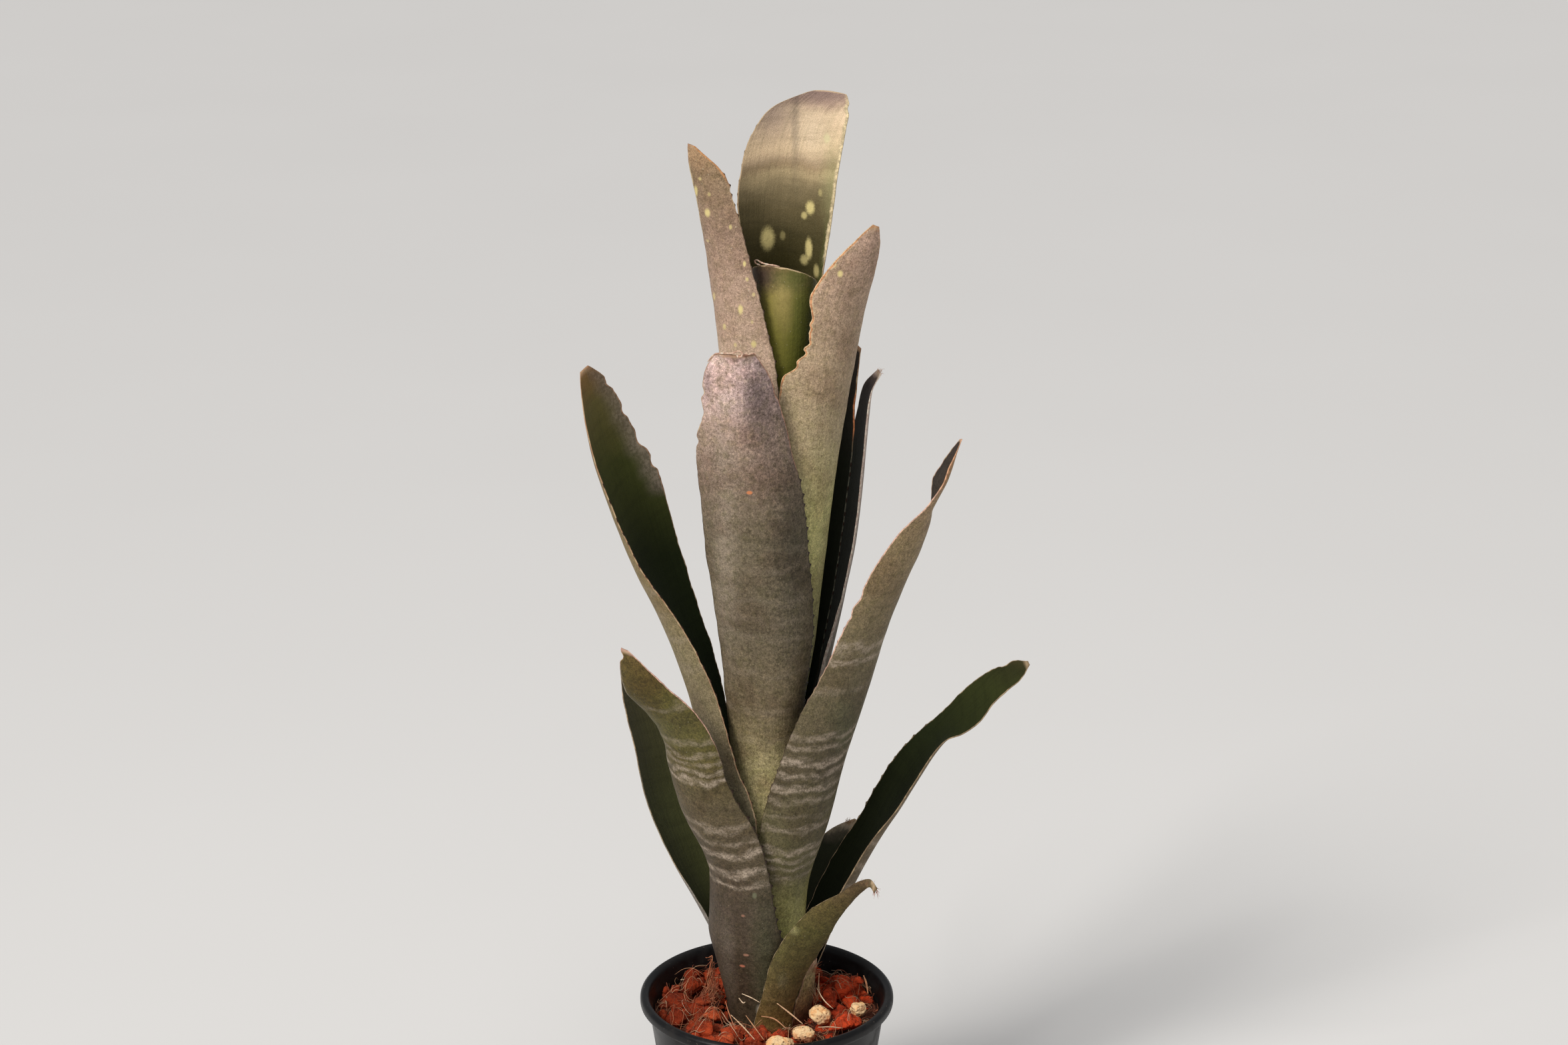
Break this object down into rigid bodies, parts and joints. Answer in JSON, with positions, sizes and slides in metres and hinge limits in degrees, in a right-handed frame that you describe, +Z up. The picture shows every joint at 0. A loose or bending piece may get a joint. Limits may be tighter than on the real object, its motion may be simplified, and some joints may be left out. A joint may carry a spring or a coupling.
{
  "type": "potted bromeliad",
  "caption": "Tall tube-shaped bromeliad with arching, toothed grey-green leaves in a small black nursery pot of brick chips.",
  "frame": {"origin": "centre of the pot's flat bottom, where it stands", "axes": "+Z up along the plant, -Y to the front shown in the picture, +X to the right"},
  "size_m": [0.1739, 0.1, 0.447],
  "materials": {
    "pot_plastic": "satin black, dusty",
    "brick_chips": "rough broken brick",
    "cream_stone": "rough, pitted",
    "pale_stem": "dry",
    "tube_leaf": "glossy olive leaf",
    "spotted_leaf": "matt leaf with grey scales and yellow spots",
    "dark_leaf": "smooth dark green leaf",
    "grey_leaf": "matt leaf with silver scales",
    "banded_leaf": "matt leaf with silver cross-bands",
    "young_leaf": "yellow-green leaf",
    "dry_leaf": "dried tan sheath"
  },
  "bodies": {
    "root": {"pot": "pot_plastic", "bed": "brick_chips", "stock": "pale_stem", "stone_a": "cream_stone", "stone_b": "cream_stone", "stone_c": "cream_stone", "stone_d": "cream_stone", "leaf_inner_tube": "tube_leaf", "leaf_back_top": "spotted_leaf", "leaf_left_tall": "spotted_leaf", "leaf_right_tall": "spotted_leaf", "leaf_back_right_upper": "dark_leaf", "leaf_right_back_narrow": "dark_leaf", "leaf_front_tall": "grey_leaf", "leaf_left_arching": "grey_leaf", "leaf_right_arching": "banded_leaf", "leaf_low_right": "dark_leaf", "leaf_back_left_low": "dark_leaf", "leaf_low_left": "banded_leaf", "leaf_back_right_small": "banded_leaf", "leaf_basal_stub": "dry_leaf", "leaf_front_small": "young_leaf"}
  },
  "joints": []
}
